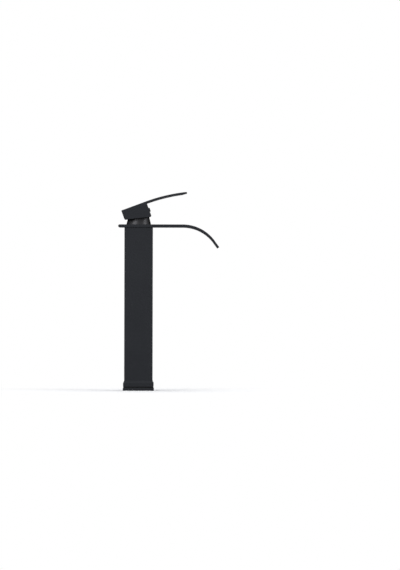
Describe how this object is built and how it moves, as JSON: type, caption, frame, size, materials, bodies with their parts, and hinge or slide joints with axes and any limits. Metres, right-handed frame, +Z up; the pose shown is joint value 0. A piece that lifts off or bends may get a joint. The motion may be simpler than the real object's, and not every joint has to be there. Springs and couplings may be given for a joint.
{
  "type": "basin mixer tap",
  "caption": "Tall matte black basin mixer: square column, flat waterfall spout bent down at the tip, and a block lever that turns for heat and lifts for flow.",
  "frame": {"origin": "centre of the foot's underside, where the tap stands on the deck", "axes": "+Z up along the column, +X along the spout"},
  "size_m": [0.161, 0.05, 0.3711],
  "materials": {
    "matte_black_metal": "matte powder coat",
    "satin_black_metal": "satin",
    "indicator": "satin",
    "brass": "machined",
    "copper": "drawn tube",
    "steel": "zinc plated",
    "cartridge_plastic": "moulded",
    "rubber": "matte",
    "ceramic": "lapped ceramic"
  },
  "bodies": {
    "tap_body": {"base_plate": "matte_black_metal", "column": "matte_black_metal", "spout_top_shell": "matte_black_metal", "spout_bottom_plate": "matte_black_metal", "dome_cover": "satin_black_metal", "base_gasket": "rubber", "column_gasket": "rubber", "spout_lower_seal": "rubber", "spout_upper_seal": "rubber", "cartridge_port_seals": "rubber", "cartridge_o_ring": "rubber", "clamp_gasket": "rubber", "valve_body": "brass", "inlet_block": "brass", "cartridge_nut": "brass", "hot_riser": "copper", "cold_riser": "copper", "cartridge_base": "cartridge_plastic", "cartridge_housing": "cartridge_plastic", "fixed_ceramic_disc": "ceramic", "mounting_stud": "steel", "clamp_washer": "steel", "clamp_nut": "steel"},
    "spindle": {"stem_bush": "cartridge_plastic", "stem_pivot_pin": "steel"},
    "lever": {"lever_handle": "matte_black_metal", "cartridge_stem": "brass", "handle_grub_screw": "steel", "indicator_plug": "indicator"},
    "disc": {"moving_ceramic_disc": "ceramic", "disc_carrier": "cartridge_plastic"}
  },
  "joints": [
    {"name": "lever_turn", "type": "hinge", "parent": "tap_body", "child": "spindle", "pos_m": [0, 0, 0.2679], "axis": [0, 0, 1], "range_deg": [-45, 45]},
    {"name": "lever_lift", "type": "hinge", "parent": "spindle", "child": "lever", "pos_m": [0, 0, 0.2679], "axis": [0, -1, 0], "range_deg": [-9, 14]},
    {"name": "disc_slide", "type": "slide", "parent": "spindle", "child": "disc", "axis": [1, 0, 0], "range_m": [-0.0015, 0.0024]}
  ],
  "couplings": [
    {"joint": "disc_slide", "follows": "lever_lift", "m_per_rad": 0.0095}
  ]
}
